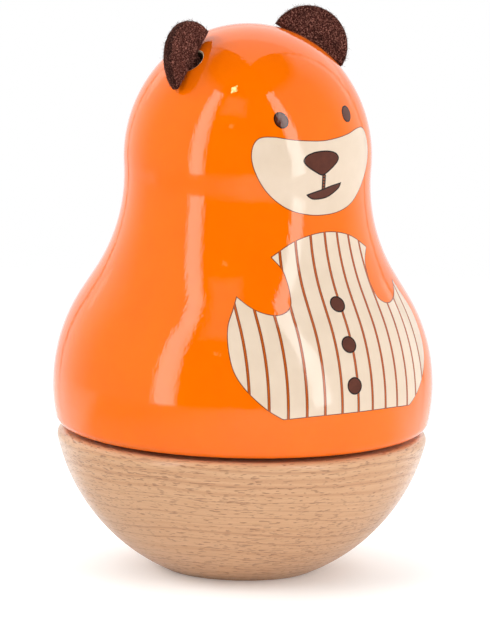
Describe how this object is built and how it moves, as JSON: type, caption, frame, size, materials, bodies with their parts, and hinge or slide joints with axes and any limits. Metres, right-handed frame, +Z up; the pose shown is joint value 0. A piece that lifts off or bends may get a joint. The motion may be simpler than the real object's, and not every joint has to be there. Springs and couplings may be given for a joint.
{
  "type": "music box",
  "caption": "Turned wooden bear music box: a lacquered body holding a pinned-drum comb movement turns on a round base to wind its mainspring and turns back as it plays.",
  "frame": {"origin": "centre of the flat foot, on the turning axis", "axes": "+Z up along the turning axis, the bear faces -Y, +X to the bear's left"},
  "size_m": [0.1004, 0.1004, 0.1486],
  "materials": {
    "beech": "natural beech, satin wax",
    "orange_lacquer": "turned wood under glossy orange lacquer with printed face, bib and buttons",
    "felt": "thick brown wool felt",
    "plywood": "bare birch plywood",
    "zinc_casting": "die-cast zinc, satin",
    "brass": "machined brass",
    "steel": "bright steel",
    "nylon": "moulded white nylon"
  },
  "bodies": {
    "base": {"base_bowl": "beech", "threaded_insert": "brass", "glide_ring": "nylon", "winding_arbor": "steel", "drive_wheel": "brass", "ratchet_wheel": "steel", "click": "steel", "click_spring": "steel", "click_rivets": "steel"},
    "upper": {"body_shell": "orange_lacquer", "ear_left": "felt", "ear_right": "felt", "floor_disc": "plywood", "floor_screws": "steel", "bedplate": "zinc_casting", "bedplate_screws": "steel", "spring_barrel": "steel", "mainspring": "steel", "pillars": "brass", "bridge": "brass", "bridge_screws": "steel", "comb": "steel", "comb_screws": "steel", "drum_bracket": "zinc_casting", "bracket_screw": "steel", "governor_frame": "brass", "governor_screws": "steel", "worm_cock": "brass", "cock_screw": "steel"},
    "drum_set": {"drum_shaft": "steel", "drum": "brass", "drum_pins": "steel", "drum_pinion": "brass", "drum_gear": "brass"},
    "second_set": {"second_arbor": "steel", "second_pinion": "steel", "worm_wheel": "nylon"},
    "fly_set": {"fly_arbor": "steel", "worm": "steel", "fly": "nylon"}
  },
  "joints": [
    {"name": "body_turn", "type": "hinge", "parent": "base", "child": "upper", "pos_m": [0, 0, 0.0381], "axis": [0, 0, 1], "range_deg": [-1530, 0], "stiffness_Nm_per_rad": 0.002},
    {"name": "drum_spin", "type": "hinge", "parent": "upper", "child": "drum_set", "pos_m": [0.0211, 0, 0.05343], "axis": [1, 0, 0], "continuous": true},
    {"name": "second_spin", "type": "hinge", "parent": "upper", "child": "second_set", "pos_m": [0.0211, 0.0108, 0.05343], "axis": [1, 0, 0], "continuous": true},
    {"name": "fly_spin", "type": "hinge", "parent": "upper", "child": "fly_set", "pos_m": [0.0228, 0.0166, 0.05343], "axis": [0, 0, 1], "continuous": true}
  ],
  "couplings": [
    {"joint": "drum_spin", "follows": "body_turn", "ratio": -2.75},
    {"joint": "second_spin", "follows": "body_turn", "ratio": 12.1},
    {"joint": "fly_spin", "follows": "body_turn", "ratio": -242}
  ]
}
